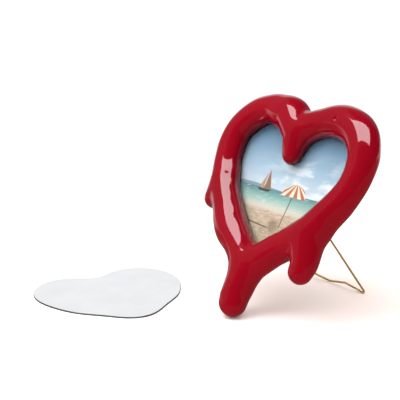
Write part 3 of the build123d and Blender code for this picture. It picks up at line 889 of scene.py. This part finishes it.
floor_corners = [(-floor_reach, -floor_reach, 0), (floor_reach, -floor_reach, 0),
                 (floor_reach, floor_reach, 0), (-floor_reach, floor_reach, 0)]
floor = add_piece("floor", floor_corners, [(0, 1, 2, 3)])
table, add = start_material("pale_table")
place = add("TexCoord").outputs["Object"]
mottle = add("TexNoise", {"Vector": place, "Scale": 3.0, "Detail": 2.0})
table_tone = ramp(add, mottle.outputs["Fac"], pale_tones)
top = add("BsdfPrincipled", {"Base Color": table_tone, "Roughness": 0.85, "Specular IOR Level": 0.1})
lit_sweep = add("Emission", {"Color": (1.0, 1.0, 1.0, 1.0), "Strength": white_light})
distance = add("VectorMath", {0: place}, operation="LENGTH").outputs["Value"]
sweep = add("MixShader", {
    0: rise(distance, sweep_start, sweep_end), 1: top.outputs["BSDF"], 2: lit_sweep.outputs["Emission"]})
dim_table = add("Emission", {"Color": (1.0, 0.94, 0.92, 1.0), "Strength": dim_light})
set_back = add("VectorMath", {0: place, 1: behind_way}, operation="DOT_PRODUCT").outputs["Value"]
in_front = add("MapRange", {
    "Value": set_back, "From Min": dim_start, "From Max": dim_end, "To Min": 1.0, "To Max": 0.0})
dimmed = times(add("LightPath").outputs["Is Glossy Ray"], in_front.outputs["Result"])
seen = add("MixShader", {0: dimmed, 1: sweep.outputs["Shader"], 2: dim_table.outputs["Emission"]})
add("OutputMaterial", {"Surface": seen.outputs["Shader"]})
floor.data.materials.append(table)

studio = bpy.data.worlds.new("studio")
studio.use_nodes = True
bpy.context.scene.world = studio
studio.node_tree.nodes.clear()
add = node_adder(studio.node_tree)
ray_way = add("TexCoord").outputs["Generated"]


def compass_way(azimuth, elevation):
    """The direction of a bearing and a height above the horizon, both in degrees: the height's cosine goes
    along the bearing and its sine goes up."""
    a, e = math.radians(azimuth), math.radians(elevation)
    return np.array([math.cos(e) * math.cos(a), math.cos(e) * math.sin(a), math.sin(e)])


def toward(way):
    """How far a ray's direction goes along a way: their dot product."""
    return add("VectorMath", {0: ray_way, 1: tuple(way)}, operation="DOT_PRODUCT").outputs["Value"]


def grade(value, low, high, start, end):
    """A straight line from start, where the value is low, to end, where it is high, and level past both."""
    return add("MapRange", {
        "Value": value, "From Min": low, "From Max": high, "To Min": start, "To Max": end}).outputs["Result"]


def larger(a, b):
    """The larger of two values."""
    return add("Math", {0: a, 1: b}, operation="MAXIMUM").outputs[0]


def beyond(value, half_tangent):
    """How far a direction lies past an edge of the box: its size along the edge's axis less the box's own,
    which is half_tangent times how far the direction goes toward the box."""
    size = add("Math", {0: value}, operation="ABSOLUTE").outputs[0]
    edge = add("Math", {0: toward_box, 1: half_tangent}, operation="MULTIPLY").outputs[0]
    return add("Math", {0: size, 1: edge}, operation="SUBTRACT").outputs[0]


dim_wall = grade(toward(behind_way), 0.35, 0.85, 0.0, 0.20)
white_sweep = grade(toward(sweep_way), 0.90, 0.97, 0.0, 0.92)
grey_side = grade(toward(left_way), 0.60, 0.67, 0.01, 0.18)
walls = larger(larger(dim_wall, white_sweep), grey_side)
box_way = compass_way(box_azimuth, box_elevation)
level_way = compass_way(box_azimuth + 90.0, 0.0)
steep_way = np.cross(box_way, level_way)
roll_cosine, roll_sine = math.cos(math.radians(box_roll)), math.sin(math.radians(box_roll))
toward_box = toward(box_way)
past_across = beyond(toward(roll_cosine * level_way + roll_sine * steep_way), box_half_tangents[0])
past_along = beyond(toward(roll_cosine * steep_way - roll_sine * level_way), box_half_tangents[1])
box_light = grade(larger(past_across, past_along), -box_blur, box_blur, box_radiance, 0.0)
ambient = grade(toward(key_side_way), -1.0, 1.0, 0.50, 1.55)
ray = add("LightPath")
soft_room = add("Background", {"Color": (1.0, 0.94, 0.91, 1.0), "Strength": ambient})
glossy_room = add("Background", {"Color": (0.96, 0.97, 1.0, 1.0), "Strength": larger(walls, box_light)})
white_room = add("Background", {"Color": (1.0, 1.0, 1.0, 1.0), "Strength": white_light})
unlit = add("MixShader", {
    0: ray.outputs["Is Glossy Ray"], 1: soft_room.outputs[0], 2: glossy_room.outputs[0]})
shown = add("MixShader", {0: ray.outputs["Is Camera Ray"], 1: unlit.outputs[0], 2: white_room.outputs[0]})
add("OutputWorld", {"Surface": shown.outputs[0]})

lamp_colour = (0.97, 0.96, 1.0)


def aim(thing, place, way):
    """Puts a lamp or a camera at a place, looking along a direction, without roll: it is turned about Z to
    the direction's bearing and tipped by its slope."""
    thing.location = place
    tip = math.pi / 2 + math.atan2(way[2], math.hypot(way[0], way[1]))
    thing.rotation_euler = (tip, 0.0, math.atan2(way[1], way[0]) - math.pi / 2)
    bpy.context.scene.collection.objects.link(thing)
    return thing


def soft_box(name, azimuth, elevation, distance, size, radiance):
    """A rectangular lamp of an even brightness that faces the picture's middle from a compass direction. Its
    power is its radiance times pi times its area."""
    way = compass_way(azimuth, elevation)
    lamp = bpy.data.lights.new(name, "AREA")
    lamp.shape = "RECTANGLE"
    lamp.size, lamp.size_y = size
    lamp.energy = radiance * math.pi * size[0] * size[1]
    lamp.color = lamp_colour
    return aim(bpy.data.objects.new(name, lamp), picture_middle + distance * way, -way)


# Two soft boxes light the set: the key on the camera's left and a wide one at the ceiling. No gloss mirrors
# them, because the world above holds the ceiling box that it mirrors.
key_box = soft_box("key_box", azimuth=-120.0, elevation=50.0, distance=1.3, size=(0.9, 1.0), radiance=3.3)
ceiling_box = soft_box("ceiling_box", azimuth=box_azimuth, elevation=box_elevation, distance=2.0,
                       size=(2.8, 1.1), radiance=2.1)
for box in (key_box, ceiling_box):
    box.visible_glossy = False

camera_place = (0.9173, -0.8967, 0.5045)
camera_way = (-0.7101, 0.6517, -0.2665)
lens = bpy.data.cameras.new("photo_camera")
lens.sensor_width = 36.0
lens.lens = 99.0
camera = bpy.data.objects.new("photo_camera", lens)
aim(camera, camera_place, camera_way)
bpy.context.scene.camera = camera
bpy.context.scene.view_settings.view_transform = "Standard"
